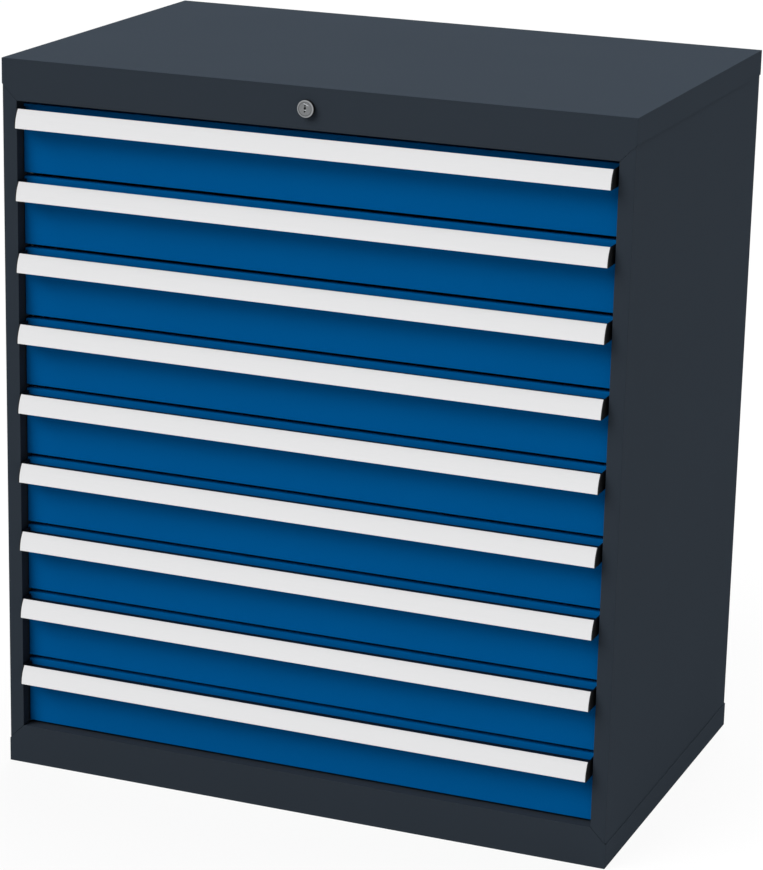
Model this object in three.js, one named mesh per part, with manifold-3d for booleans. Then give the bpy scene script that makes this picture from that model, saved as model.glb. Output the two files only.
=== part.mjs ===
// Industrial drawer cabinet: nine equal drawers in a folded sheet-steel casing, each on a pair of
// full-extension slides, with one key lock in the top fascia that locks them all.
//
// Units are millimetres. X runs to the right, Y to the back and Z up. The origin is on the floor,
// midway between the grips' foremost edge and the back of the casing. Inside the cabinet group, Y
// is measured from the face of the front frame, so the sizes read as on a workshop drawing.

import * as THREE from "three";
import { mergeVertices } from "three/addons/utils/BufferGeometryUtils.js";
import Module from "manifold-3d";

const wasm = await Module();
wasm.setup();

// Casing
const cabinetWidth = 898; // over the cover's and the base's rims
const cabinetDepth = 572; // front frame to back rim, without the grips
const drawerCount = 9;
const drawerPitch = 100; // from one drawer to the next
const sillPlay = 2.55; // opening below the last bay
const lintelPlay = 1.75; // opening above the first bay
const baseRailHeight = 56.7; // floor to the opening
const fasciaHeight = 57; // opening to the top
const frameFlange = 22.3; // front frame beside the opening
const casingSheet = 1;
const backFlange = 20; // fold of a side wall that the back panel lies on
const railLip = 10; // fold that stiffens the ledge behind the base rail and the fascia
const fitGap = 0.3; // between pieces that are screwed, hooked or laid together
const weldDepth = 0.2; // how far a welded piece runs into its neighbour
const cutOverrun = 2; // how far every cutter runs past what it cuts

// Drawer fronts
const frontRecess = 16; // drawer face behind the front frame
const frontFold = 12; // depth of a front's folded edges
const frontSheet = 1.2;
const frontReturn = 18; // width of the folded rim that lies on the tray
const frontSideGap = 2.2;
const frontGap = 5.5; // between fronts that lie above one another
const frontLift = 1.45; // front's lower edge above the bottom of the bay

// Grips
const gripHeight = 25.7;
const gripDepth = 31.2; // drawer face to the grip's lower edge
const gripRadius = 41.3; // of the curved face
const gripWall = 2;
const gripDrop = 3.3; // front's upper edge to the grip's
const gripWebDrop = 5; // grip's upper edge to the web behind it
const gripFoot = 13; // height of the foot on the drawer face
const gripLip = 5; // in-turned lower edge that the fingers pull
const gripInset = 1.8; // grip shorter than its front, at each end
const gripCap = 2; // end cap

// Slides and trays
const slideWidth = 17; // tray wall to the back of the cabinet rail
const slideHeight = 44;
const slideSheet = 1.5;
const slideLift = 12; // above the bottom of the bay
const slidePlay = 0.4; // between the members of a slide
const slideTipGap = 2; // flange tips to the tray wall
const jambPlay = 1.6; // moving member to the front frame
const railEndGap = 10; // cabinet rail to the back of the casing
const traySheet = 1;
const trayDepth = 500;
const trayHeight = 80;
const trayLift = 6; // tray floor above the bottom of the bay

// Uprights that carry the cabinet rails
const uprightSetback = 17; // drawer front's fold to the front upright
const uprightWidth = 30;
const uprightSheet = 1.5;
const rearUprightGap = 25; // rear upright to the end of the rails

// Lock
const lockDrop = 28.3; // cabinet's top to the lock's axis
const rosetteRadius = 11.5;
const rosetteThickness = 7.2;
const barrelRadius = 9.4;
const plugHeadBore = 9.2; // radius of the recess that the plug's head turns in
const plugHeadDepth = 2.4;
const plugBore = 6.6;
const plugPlay = 0.3;
const keywayWidth = 2;
const keywayHeight = 10;
const keywayDepth = 12;
const nutRadius = 15; // across the corners
const nutThickness = 4;
const nutSides = 6;
const camThickness = 3;
const camThrow = 8.5; // lock axis to the cam's pin
const camHubRadius = 7;
const camSwing = Math.PI / 2; // turn of the key
const pinRadius = 2;
const pinEndRadius = 4; // of the plate around a pin
const pinPlay = 0.5;
const pinProud = 1; // pin past the link

// Link and locking bars
const linkThickness = 3;
const linkHeight = 26;
const linkEndGap = 27; // link's end to a side wall's inner face
const barThickness = 3;
const barWidth = 12;
const barWallGap = 4.7; // locking bar to the side wall's inner face
const armReach = 41; // bar's outer edge to the pin of its arm
const armHeight = 16;
const hookLift = 58; // above the bottom of the bay, unlocked
const hookHeight = 10;
const hookGap = 4; // hook's tip to the tray wall
const tabLift = 70; // tray's locking tab above the bottom of the bay
const tabHeight = 10;
const tabGap = 0.6; // hook to tab, locked
const tabReach = 13;
const keeperHeight = 12;
const keeperLift = 20; // above the bottom of the bay
const barFootLift = 40; // bar's lower end above the bottom of the last bay
const saddleWidth = 20;
const saddleOffset = 200; // of a link saddle from the lock
const saddleLip = 8;

// Fineness of the round shapes, and the grid that every corner is rounded to, so that faces that
// should lie in one plane do
const rodSides = 28;
const arcSteps = 4; // each arc has twice as many facets
const pointGrid = 1 / 1024;

// Sizes that follow
const gripReach = gripDepth - frontRecess;
const openingHalf = cabinetWidth / 2 - frameFlange;
const openingBottom = baseRailHeight;
const openingTop = openingBottom + sillPlay + drawerCount * drawerPitch + lintelPlay;
const cabinetHeight = openingTop + fasciaHeight;
const baseRim = baseRailHeight - frameFlange; // so that the frame's mitres run at 45 degrees
const coverRim = fasciaHeight - frameFlange;
const jambReturn = frontRecess + frontFold;
const skinGap = casingSheet + fitGap;
const wallOuter = cabinetWidth / 2 - skinGap;
const wallInner = wallOuter - casingSheet;
const backPanelFront = cabinetDepth - skinGap - casingSheet;
const wallRear = backPanelFront - fitGap;
const innerBottom = skinGap;
const innerTop = cabinetHeight - skinGap;

const frontHalf = openingHalf - frontSideGap;
const frontBack = frontRecess + frontFold;
const slideStart = frontBack + fitGap;
const railEnd = wallRear - casingSheet - railEndGap;
const carriageOuter = openingHalf - jambPlay;
const railBack = carriageOuter + slidePlay + slideSheet;
const trayOuter = railBack - slideWidth;
const slideTip = trayOuter + slideTipGap;
const memberStep = slideSheet + slidePlay; // from one nested member to the next

const uprightFront = frontBack + uprightSetback;
const uprightOuter = wallInner - fitGap;
const barBack = uprightFront - fitGap;
const barFront = barBack - barThickness;
const linkBack = barFront - fitGap;
const linkFront = linkBack - linkThickness;
const camBack = linkFront - fitGap;
const camFront = camBack - camThickness;
const barOuter = wallInner - barWallGap;
const barInner = barOuter - barWidth;
const barPinX = barOuter - armReach;

const lockHeight = cabinetHeight - lockDrop;
const halfSwing = camSwing / 2;
const lockTravel = 2 * camThrow * Math.sin(halfSwing);
const linkCentre = lockHeight - (camThrow * (1 + Math.cos(halfSwing))) / 2;
const linkBottom = linkCentre - linkHeight / 2;
const barPinZ = linkCentre - lockTravel / 2;

const bayBottom = (bay) => openingTop - lintelPlay - (bay + 1) * drawerPitch;

// Solids and outlines

// A closed solid from any three.js geometry.
function solid(geometry) {
  const bare = geometry.index ? geometry.toNonIndexed() : geometry;
  bare.deleteAttribute("normal");
  bare.deleteAttribute("uv");
  const places = bare.attributes.position;
  places.array.forEach((value, i) => {
    places.array[i] = Math.round(value / pointGrid) * pointGrid;
  });
  const merged = mergeVertices(bare, pointGrid / 2);
  return new wasm.Manifold(
    new wasm.Mesh({
      numProp: 3,
      vertProperties: merged.attributes.position.array,
      triVerts: new Uint32Array(merged.index.array),
    }),
  );
}

function join(solids) {
  return solids.reduce((whole, piece) => whole.add(piece));
}

// A joined solid as a geometry, with the seams between faces of one plane taken out.
function geometryOf(shape) {
  const mesh = shape.asOriginal().simplify(pointGrid).getMesh();
  const geometry = new THREE.BufferGeometry();
  geometry.setAttribute("position", new THREE.BufferAttribute(mesh.vertProperties, 3));
  geometry.setIndex(new THREE.BufferAttribute(mesh.triVerts, 1));
  const faceted = geometry.toNonIndexed();
  faceted.computeVertexNormals();
  return faceted;
}

// A block between two corners, given as ranges along X, Y and Z.
function block([x0, x1], [y0, y1], [z0, z1]) {
  const geometry = new THREE.BoxGeometry(x1 - x0, y1 - y0, z1 - z0);
  return solid(geometry.translate((x0 + x1) / 2, (y0 + y1) / 2, (z0 + z1) / 2));
}

// A plate whose outline lies in X and Z, from front to back.
function plate(outline, [front, back]) {
  const geometry = new THREE.ExtrudeGeometry(outline, {
    depth: back - front,
    bevelEnabled: false,
    curveSegments: arcSteps,
  });
  const upright = new THREE.Matrix4().makeBasis(
    new THREE.Vector3(1, 0, 0),
    new THREE.Vector3(0, 0, 1),
    new THREE.Vector3(0, -1, 0),
  );
  return solid(geometry.applyMatrix4(upright).translate(0, back, 0));
}

// A section drawn forwards from the drawer face and upwards, run along X between two ends.
function run(outline, [left, right]) {
  const geometry = new THREE.ExtrudeGeometry(outline, {
    depth: right - left,
    bevelEnabled: false,
    curveSegments: arcSteps,
  });
  const sideways = new THREE.Matrix4().makeBasis(
    new THREE.Vector3(0, -1, 0),
    new THREE.Vector3(0, 0, 1),
    new THREE.Vector3(-1, 0, 0),
  );
  return solid(geometry.applyMatrix4(sideways).translate(right, frontRecess, 0));
}

// A round bar along Y.
function rod(radius, [front, back], x, z, sides = rodSides) {
  const geometry = new THREE.CylinderGeometry(radius, radius, back - front, sides);
  return solid(geometry.translate(x, (front + back) / 2, z));
}

function polygon(points) {
  return new THREE.Shape(points.map(([a, b]) => new THREE.Vector2(a, b)));
}

// An outline with two round ends, around the line from one point to another.
function stadium([ax, az], [bx, bz], radius) {
  const heading = Math.atan2(bz - az, bx - ax);
  const outline = new THREE.Shape();
  outline.absarc(bx, bz, radius, heading - Math.PI / 2, heading + Math.PI / 2, false);
  outline.absarc(ax, az, radius, heading + Math.PI / 2, heading + (3 * Math.PI) / 2, false);
  outline.closePath();
  return outline;
}

// A channel along Y, open towards the tray: its back at x, its flanges reaching in to the tips.
function channel(x, tip, [start, end], [low, high], sheet) {
  return join([
    block([x - sheet, x], [start, end], [low, high]),
    block([tip, x], [start, end], [low, low + sheet]),
    block([tip, x], [start, end], [high - sheet, high]),
  ]);
}

// Casing

// The base: a pan with rims, whose front rises to the opening and is mitred against the sides.
function basePan() {
  const half = cabinetWidth / 2;
  const railOutline = polygon([
    [-half, 0],
    [half, 0],
    [half, baseRim],
    [openingHalf, baseRailHeight],
    [-openingHalf, baseRailHeight],
    [-half, baseRim],
  ]);
  const across = [-openingHalf, openingHalf];
  return join([
    block([-half, half], [0, cabinetDepth], [0, casingSheet]),
    block([-half, casingSheet - half], [0, cabinetDepth], [0, baseRim]),
    block([half - casingSheet, half], [0, cabinetDepth], [0, baseRim]),
    block([-half, half], [cabinetDepth - casingSheet, cabinetDepth], [0, baseRim]),
    plate(railOutline, [0, casingSheet]),
    block(across, [0, jambReturn], [baseRailHeight - casingSheet, baseRailHeight]),
    block(across, [jambReturn - casingSheet, jambReturn], [baseRailHeight - railLip, baseRailHeight]),
  ]);
}

// A folded bracket on the fascia's ledge that carries the lock link and keeps it in line.
function linkSaddle(x) {
  const width = [x - saddleWidth / 2, x + saddleWidth / 2];
  const seat = linkBottom - fitGap;
  const lipTop = seat + saddleLip;
  const frontLip = linkFront - fitGap;
  const rearLip = linkBack + fitGap;
  return join([
    block(width, [jambReturn - uprightSheet, jambReturn], [openingTop, seat]),
    block(width, [jambReturn - uprightSheet, rearLip + uprightSheet], [seat - uprightSheet, seat]),
    block(width, [frontLip - uprightSheet, frontLip], [seat - uprightSheet, lipTop]),
    block(width, [rearLip, rearLip + uprightSheet], [seat - uprightSheet, lipTop]),
  ]);
}

// The cover: top, rims and the fascia, with the lock's hole and the saddles of the lock link.
function topCover() {
  const half = cabinetWidth / 2;
  const rimBottom = cabinetHeight - coverRim;
  const fasciaOutline = polygon([
    [-half, rimBottom],
    [-openingHalf, openingTop],
    [openingHalf, openingTop],
    [half, rimBottom],
    [half, cabinetHeight],
    [-half, cabinetHeight],
  ]);
  const across = [-openingHalf, openingHalf];
  const rimSpan = [rimBottom, cabinetHeight];
  const cover = join([
    block([-half, half], [0, cabinetDepth], [cabinetHeight - casingSheet, cabinetHeight]),
    block([-half, casingSheet - half], [0, cabinetDepth], rimSpan),
    block([half - casingSheet, half], [0, cabinetDepth], rimSpan),
    block([-half, half], [cabinetDepth - casingSheet, cabinetDepth], rimSpan),
    plate(fasciaOutline, [0, casingSheet]),
    block(across, [0, jambReturn], [openingTop, openingTop + casingSheet]),
    block(across, [jambReturn - casingSheet, jambReturn], [openingTop, openingTop + railLip]),
    linkSaddle(-saddleOffset),
    linkSaddle(saddleOffset),
  ]);
  const lockHole = rod(barrelRadius + fitGap, [-cutOverrun, casingSheet + cutOverrun], 0, lockHeight);
  return cover.subtract(lockHole);
}

// The right side: wall, mitred frame flange, jamb and the fold under the back panel.
function sidePanel() {
  const mitreGap = fitGap * Math.SQRT2;
  const low = baseRailHeight + mitreGap;
  const high = openingTop - mitreGap;
  const flangeReach = wallOuter - openingHalf;
  const cornerReach = wallInner - openingHalf;
  const flangeOutline = polygon([
    [openingHalf, low],
    [wallOuter, low - flangeReach],
    [wallOuter, high + flangeReach],
    [openingHalf, high],
  ]);
  return join([
    block([wallInner, wallOuter], [skinGap, wallRear], [innerBottom, innerTop]),
    block([wallInner, wallOuter], [0, skinGap + casingSheet], [low - cornerReach, high + cornerReach]),
    plate(flangeOutline, [0, casingSheet]),
    block([openingHalf, openingHalf + casingSheet], [0, jambReturn], [low, high]),
    block([wallOuter - backFlange, wallOuter], [wallRear - casingSheet, wallRear], [innerBottom, innerTop]),
  ]);
}

function backPanel() {
  const across = [-wallOuter, wallOuter];
  return block(across, [backPanelFront, backPanelFront + casingSheet], [innerBottom, innerTop]);
}

// A channel-shaped upright, open towards the side wall.
function upright(front) {
  const back = front + uprightWidth;
  const height = [innerBottom, innerTop];
  const across = [railBack - weldDepth, uprightOuter];
  return join([
    block([railBack - weldDepth, railBack + uprightSheet], [front, back], height),
    block(across, [front, front + uprightSheet], height),
    block(across, [back - uprightSheet, back], height),
  ]);
}

// A strap on the front upright that keeps the locking bar against it.
function barKeeper(bay) {
  const low = bayBottom(bay) + keeperLift;
  const height = [low, low + keeperHeight];
  const strapBack = barFront - fitGap;
  const strapFront = strapBack - uprightSheet;
  return join([
    block([barOuter + slidePlay, uprightOuter], [strapFront, uprightFront + weldDepth], height),
    block([barInner, uprightOuter], [strapFront, strapBack], height),
  ]);
}

// The right runner rack: two uprights with a cabinet rail for each drawer and three bar keepers.
function runnerRack() {
  const pieces = [upright(uprightFront), upright(railEnd - rearUprightGap - uprightWidth)];
  for (let bay = 0; bay < drawerCount; bay++) {
    const low = bayBottom(bay) + slideLift;
    pieces.push(channel(railBack, slideTip, [slideStart, railEnd], [low, low + slideHeight], slideSheet));
  }
  const lastBay = drawerCount - 1;
  const keeperBays = new Set([0, Math.floor(lastBay / 2), lastBay]);
  keeperBays.forEach((bay) => pieces.push(barKeeper(bay)));
  return join(pieces);
}

// Drawers, drawn with Z from the bottom of their bay

// The middle member of the right slide, nested in the cabinet rail.
function slideCarriage() {
  const low = slideLift + memberStep;
  const high = slideLift + slideHeight - memberStep;
  const length = [slideStart, slideStart + trayDepth];
  return channel(carriageOuter, slideTip, length, [low, high], slideSheet);
}

// The inner member of the right slide and the locking tab, both welded to the tray's wall.
function trayFittings() {
  const low = slideLift + 2 * memberStep;
  const high = slideLift + slideHeight - 2 * memberStep;
  const length = [slideStart, slideStart + trayDepth];
  const welded = trayOuter - weldDepth;
  const flangeTip = carriageOuter - memberStep;
  const tabFront = barBack + tabGap;
  return join([
    block([welded, trayOuter + slideSheet], length, [low, high]),
    block([welded, flangeTip], length, [low, low + slideSheet]),
    block([welded, flangeTip], length, [high - slideSheet, high]),
    block([welded, trayOuter + tabReach], [tabFront, tabFront + slideSheet], [tabLift, tabLift + tabHeight]),
  ]);
}

function drawerTray() {
  const back = slideStart + trayDepth;
  const top = trayLift + trayHeight;
  const outside = block([-trayOuter, trayOuter], [slideStart, back], [trayLift, top]);
  const inner = trayOuter - traySheet;
  const inside = block(
    [-inner, inner],
    [slideStart + traySheet, back - traySheet],
    [trayLift + traySheet, top + cutOverrun],
  );
  const fittings = trayFittings();
  const mirrored = new THREE.Matrix4().makeScale(-1, 1, 1);
  return join([outside.subtract(inside), fittings, turned(fittings, mirrored)]);
}

// A solid moved by a matrix, with its faces turned back out if the matrix mirrors it.
function turned(shape, matrix) {
  const geometry = geometryOf(shape).applyMatrix4(matrix);
  if (matrix.determinant() < 0) {
    const corners = geometry.attributes.position;
    for (let i = 0; i < corners.count; i += 3) {
      const second = new THREE.Vector3().fromBufferAttribute(corners, i + 1);
      const third = new THREE.Vector3().fromBufferAttribute(corners, i + 2);
      corners.setXYZ(i + 1, ...third);
      corners.setXYZ(i + 2, ...second);
    }
  }
  return solid(geometry);
}

// A folded front: face, four edges and the rim behind them that lies on the tray.
function drawerFront() {
  const low = frontLift;
  const high = low + drawerPitch - frontGap;
  const outside = block([-frontHalf, frontHalf], [frontRecess, frontBack], [low, high]);
  const inside = block(
    [frontSheet - frontHalf, frontHalf - frontSheet],
    [frontRecess + frontSheet, frontBack - frontSheet],
    [low + frontSheet, high - frontSheet],
  );
  const window = block(
    [frontReturn - frontHalf, frontHalf - frontReturn],
    [frontBack - frontSheet - cutOverrun, frontBack + cutOverrun],
    [low + frontReturn, high - frontReturn],
  );
  return outside.subtract(inside).subtract(window);
}

// The grip: a curved face on a web and foot, closed by a cap at each end.
function drawerGrip() {
  const half = frontHalf - gripInset;
  const top = frontLift + drawerPitch - frontGap - gripDrop;
  const bottom = top - gripHeight;
  const centre = gripDepth - gripRadius;
  const sweep = Math.asin(gripHeight / gripRadius);
  const web = top - gripWebDrop;
  const webTip = centre + Math.sqrt(gripRadius ** 2 - (web - bottom) ** 2) - gripWall / 2;

  const face = new THREE.Shape();
  face.absarc(centre, bottom, gripRadius, 0, sweep, false);
  face.absarc(centre, bottom, gripRadius - gripWall, sweep, 0, true);
  face.closePath();

  const webOutline = polygon([
    [fitGap, web - gripWall],
    [webTip, web - gripWall],
    [webTip, web],
    [fitGap, web],
  ]);
  const footOutline = polygon([
    [fitGap, web - gripFoot],
    [fitGap + gripWall, web - gripFoot],
    [fitGap + gripWall, web],
    [fitGap, web],
  ]);
  const lipOutline = polygon([
    [gripDepth - gripLip, bottom],
    [gripDepth - weldDepth, bottom],
    [gripDepth - weldDepth, bottom + gripWall],
    [gripDepth - gripLip, bottom + gripWall],
  ]);

  const cap = new THREE.Shape();
  cap.moveTo(fitGap, bottom);
  cap.lineTo(gripDepth, bottom);
  cap.absarc(centre, bottom, gripRadius, 0, sweep, false);
  cap.lineTo(fitGap, top);
  cap.closePath();

  return join([
    run(face, [-half, half]),
    run(webOutline, [-half, half]),
    run(footOutline, [-half, half]),
    run(lipOutline, [-half, half]),
    run(cap, [-half, gripCap - half]),
    run(cap, [half - gripCap, half]),
  ]);
}

// Lock

function lockCylinder() {
  const face = -fitGap - rosetteThickness;
  const end = camFront - fitGap;
  const body = join([
    rod(rosetteRadius, [face, -fitGap], 0, lockHeight),
    rod(barrelRadius, [face, end], 0, lockHeight),
  ]);
  return body
    .subtract(rod(plugHeadBore, [face - cutOverrun, face + plugHeadDepth], 0, lockHeight))
    .subtract(rod(plugBore, [face - cutOverrun, end + cutOverrun], 0, lockHeight));
}

function lockPlug() {
  const face = -fitGap - rosetteThickness;
  const plug = join([
    rod(plugHeadBore - plugPlay, [face, face + plugHeadDepth - plugPlay], 0, lockHeight),
    rod(plugBore - plugPlay, [face, camFront - fitGap], 0, lockHeight),
  ]);
  const keyway = block(
    [-keywayWidth / 2, keywayWidth / 2],
    [face - cutOverrun, face + keywayDepth],
    [lockHeight - keywayHeight / 2, lockHeight + keywayHeight / 2],
  );
  return plug.subtract(keyway);
}

function lockNut() {
  const thickness = [skinGap, skinGap + nutThickness];
  const nut = rod(nutRadius, thickness, 0, lockHeight, nutSides);
  const bore = rod(barrelRadius + fitGap, [0, thickness[1] + cutOverrun], 0, lockHeight);
  return nut.subtract(bore);
}

// The cam on the plug's end. Unlocked, its pin points down to the left; the key swings it right.
function lockCam() {
  const pinX = -camThrow * Math.sin(halfSwing);
  const pinZ = lockHeight - camThrow * Math.cos(halfSwing);
  return join([
    rod(camHubRadius, [camFront, camBack], 0, lockHeight),
    plate(stadium([0, lockHeight], [pinX, pinZ], pinEndRadius), [camFront, camBack]),
    rod(pinRadius, [camFront, linkBack + pinProud], pinX, pinZ),
  ]);
}

// The link: the cam's pin slides it sideways, and its slanting slots lift the locking bars.
function lockLink() {
  const half = wallInner - linkEndGap;
  const slotRadius = pinRadius + pinPlay;
  const cut = [linkFront - cutOverrun, linkBack + cutOverrun];
  const pinX = -camThrow * Math.sin(halfSwing);
  const pinHigh = lockHeight - camThrow * Math.cos(halfSwing);
  const camSlot = stadium([pinX, lockHeight - camThrow], [pinX, pinHigh], slotRadius);
  const liftSlot = (x) => stadium([x, barPinZ], [x - lockTravel, barPinZ + lockTravel], slotRadius);
  return block([-half, half], [linkFront, linkBack], [linkBottom, linkBottom + linkHeight])
    .subtract(plate(camSlot, cut))
    .subtract(plate(liftSlot(-barPinX), cut))
    .subtract(plate(liftSlot(barPinX), cut));
}

// The right locking bar: one hook for each drawer, and an arm with a pin in the link's slot.
function lockingBar() {
  const thickness = [barFront, barBack];
  const foot = bayBottom(drawerCount - 1) + barFootLift;
  const armTop = barPinZ + armHeight / 2;
  const pieces = [
    block([barInner, barOuter], thickness, [foot, armTop]),
    block([barPinX - armHeight / 2, barOuter], thickness, [armTop - armHeight, armTop]),
    rod(pinRadius, [linkFront - pinProud, barBack], barPinX, barPinZ),
  ];
  for (let bay = 0; bay < drawerCount; bay++) {
    const low = bayBottom(bay) + hookLift;
    const hook = [trayOuter + hookGap, barInner + weldDepth];
    pieces.push(block(hook, thickness, [low, low + hookHeight]));
  }
  return join(pieces);
}

// Materials

const anthraciteCoat = new THREE.MeshStandardMaterial({ color: 0x383e45, roughness: 0.55, metalness: 0 });
const blueCoat = new THREE.MeshStandardMaterial({ color: 0x02508a, roughness: 0.5, metalness: 0 });
const trayCoat = new THREE.MeshStandardMaterial({ color: 0x8d9499, roughness: 0.5, metalness: 0 });
const gripAluminium = new THREE.MeshStandardMaterial({ color: 0xe1e1e1, roughness: 0.45, metalness: 0.2 });
const zincSteel = new THREE.MeshStandardMaterial({ color: 0xa9adb0, roughness: 0.4, metalness: 0.9 });
const lockMetal = new THREE.MeshStandardMaterial({ color: 0x9da1a2, roughness: 0.35, metalness: 0.8 });

// Assembly

function piece(name, geometry, material) {
  const mesh = new THREE.Mesh(geometry, material);
  mesh.name = name;
  return mesh;
}

// A right-hand piece and its mirror image on the left.
function pair(rightName, leftName, geometry, material) {
  const right = piece(rightName, geometry, material);
  const left = piece(leftName, geometry, material);
  left.scale.x = -1;
  return [left, right];
}

function casing() {
  const group = new THREE.Group();
  group.add(piece("top_cover", geometryOf(topCover()), anthraciteCoat));
  group.add(piece("base_pan", geometryOf(basePan()), anthraciteCoat));
  group.add(piece("back_panel", geometryOf(backPanel()), anthraciteCoat));
  group.add(...pair("right_side", "left_side", geometryOf(sidePanel()), anthraciteCoat));
  group.add(...pair("right_runner_rack", "left_runner_rack", geometryOf(runnerRack()), zincSteel));
  return group;
}

function lock() {
  const group = new THREE.Group();
  group.add(piece("lock_cylinder", geometryOf(lockCylinder()), lockMetal));
  group.add(piece("lock_plug", geometryOf(lockPlug()), lockMetal));
  group.add(piece("lock_nut", geometryOf(lockNut()), zincSteel));
  group.add(piece("lock_cam", geometryOf(lockCam()), zincSteel));
  group.add(piece("lock_link", geometryOf(lockLink()), zincSteel));
  group.add(...pair("right_locking_bar", "left_locking_bar", geometryOf(lockingBar()), zincSteel));
  return group;
}

// One drawer with its two carriages, at its bay. Drawer 1 is the top one.
function drawer(number, shapes) {
  const group = new THREE.Group();
  group.position.z = bayBottom(number - 1);
  group.add(piece(`drawer_${number}_front`, shapes.front, blueCoat));
  group.add(piece(`drawer_${number}_tray`, shapes.tray, trayCoat));
  group.add(piece(`drawer_${number}_grip`, shapes.grip, gripAluminium));
  const names = [`drawer_${number}_right_carriage`, `drawer_${number}_left_carriage`];
  group.add(...pair(...names, shapes.carriage, zincSteel));
  return group;
}

const cabinet = new THREE.Group();
cabinet.position.y = gripReach - (cabinetDepth + gripReach) / 2;
cabinet.add(casing(), lock());

const drawerShapes = {
  front: geometryOf(drawerFront()),
  tray: geometryOf(drawerTray()),
  grip: geometryOf(drawerGrip()),
  carriage: geometryOf(slideCarriage()),
};
for (let number = 1; number <= drawerCount; number++) {
  cabinet.add(drawer(number, drawerShapes));
}

const model = new THREE.Group();
model.add(cabinet);

export default model;
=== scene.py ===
"""The visible pieces of a nine-drawer steel cabinet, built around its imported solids.

Every size is in metres. X runs to the right, Y to the back and Z up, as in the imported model.
"""

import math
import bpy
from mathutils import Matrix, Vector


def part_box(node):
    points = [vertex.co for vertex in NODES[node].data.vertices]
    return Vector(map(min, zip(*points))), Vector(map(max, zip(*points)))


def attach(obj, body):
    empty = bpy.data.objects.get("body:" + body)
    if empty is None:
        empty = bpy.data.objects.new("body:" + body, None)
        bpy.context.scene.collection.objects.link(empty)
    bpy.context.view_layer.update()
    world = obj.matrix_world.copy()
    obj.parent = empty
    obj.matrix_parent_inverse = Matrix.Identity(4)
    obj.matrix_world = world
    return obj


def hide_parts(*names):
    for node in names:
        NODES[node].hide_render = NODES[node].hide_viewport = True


bl_info = {
    "name": "Industrial Drawer Cabinet",
    "version": (1, 0, 0),
    "blender": (4, 5, 0),
    "location": "3D View > Sidebar > Cabinet",
    "description": "Folds, cuts and finishes the visible pieces of a nine-drawer steel cabinet",
    "category": "Object",
}

import bmesh
import bpy
from bpy.props import FloatProperty, FloatVectorProperty, IntProperty, PointerProperty
from mathutils import Matrix, Vector

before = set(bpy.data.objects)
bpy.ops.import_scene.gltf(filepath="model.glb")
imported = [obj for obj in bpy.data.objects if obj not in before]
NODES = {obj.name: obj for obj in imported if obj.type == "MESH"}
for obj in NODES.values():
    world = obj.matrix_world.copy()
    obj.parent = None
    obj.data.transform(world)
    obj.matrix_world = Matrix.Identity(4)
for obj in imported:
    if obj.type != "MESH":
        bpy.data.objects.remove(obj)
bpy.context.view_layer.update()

MM = 0.001
HAIR = 0.05 * MM  # air between pieces that lie on each other
DRAWERS = [n for n in range(1, len(NODES)) if f"drawer_{n}_front" in NODES]

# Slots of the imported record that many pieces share
COAT, ZINC, PLASTIC = "anthracite_coat", "zinc_plated_steel", "black_plastic"

# Planes of the casing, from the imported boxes
COVER, BASE, SIDE, BACK, RACK, NUT = map(
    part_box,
    ("top_cover", "base_pan", "right_side", "back_panel", "right_runner_rack", "lock_nut"),
)
HALF = COVER[1].x
FACE, REAR = COVER[0].y, COVER[1].y
SILL, LINTEL, TOP = BASE[1].z, COVER[0].z, COVER[1].z
JAMB, WALL, WALL_REAR = SIDE[0].x, SIDE[1].x, SIDE[1].y
WALL_LOW, WALL_HIGH = SIDE[0].z, SIDE[1].z
FLANGE = HALF - JAMB
BASE_RIM, COVER_RIM = SILL - FLANGE, LINTEL + FLANGE
LOCK_Z = (NUT[0].z + NUT[1].z) / 2

# Planes of the top drawer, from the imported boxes
PAN, GRIP, TRAY, CARRIAGE = (
    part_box(f"drawer_1_{part}") for part in ("front", "grip", "tray", "right_carriage")
)
PITCH = PAN[0].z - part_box("drawer_2_front")[0].z
FRONT_LIFT = 1.45 * MM  # lower edge of a drawer front above the bottom of its bay
TOP_BAY = PAN[0].z - FRONT_LIFT
INNER_MEMBER = 13.2 * MM  # of a slide, packed as part of the tray
TRAY_HALF = TRAY[1].x - INNER_MEMBER
SHELF = PAN[1].y  # rear edge of the jambs and ledges


# Small makers


def linear(code):
    """A colour written as sRGB hex, as the linear values that Blender works in."""
    parts = [int(code[i : i + 2], 16) / 255 for i in (1, 3, 5)]
    return tuple(c / 12.92 if c <= 0.04045 else ((c + 0.055) / 1.055) ** 2.4 for c in parts)


def put(tree, kind, settings=None, links=None):
    """One node in a tree, with its settings and the links into it. A link that starts at a node
    starts at its first output."""
    node = tree.nodes.new(kind)
    for key, value in (settings or {}).items():
        if isinstance(key, str) and key.islower() and hasattr(node, key):
            setattr(node, key, value)
        else:
            node.inputs[key].default_value = value
    for key, source in (links or {}).items():
        output = source.outputs[0] if isinstance(source, bpy.types.Node) else source
        tree.links.new(output, node.inputs[key])
    return node


def emptied(owner):
    """The node tree of a new material or world, with nothing in it."""
    owner.use_nodes = True
    owner.node_tree.nodes.clear()
    return owner.node_tree


def shown(name, mesh):
    """A mesh as an object in the scene."""
    obj = bpy.data.objects.new(name, mesh)
    bpy.context.scene.collection.objects.link(obj)
    return obj


def plain(obj):
    """An object's evaluated shape, as a mesh with no modifier."""
    bpy.context.view_layer.update()
    graph = bpy.context.evaluated_depsgraph_get()
    return bpy.data.meshes.new_from_object(obj.evaluated_get(graph))


def with_modifiers(mesh, *modifiers):
    """A mesh after a row of modifiers, each given as its kind and its settings."""
    maker = shown("maker", mesh)
    for kind, settings in modifiers:
        modifier = maker.modifiers.new(kind, kind)
        for key, value in settings.items():
            setattr(modifier, key, value)
    result = plain(maker)
    bpy.data.objects.remove(maker)
    return result


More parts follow.
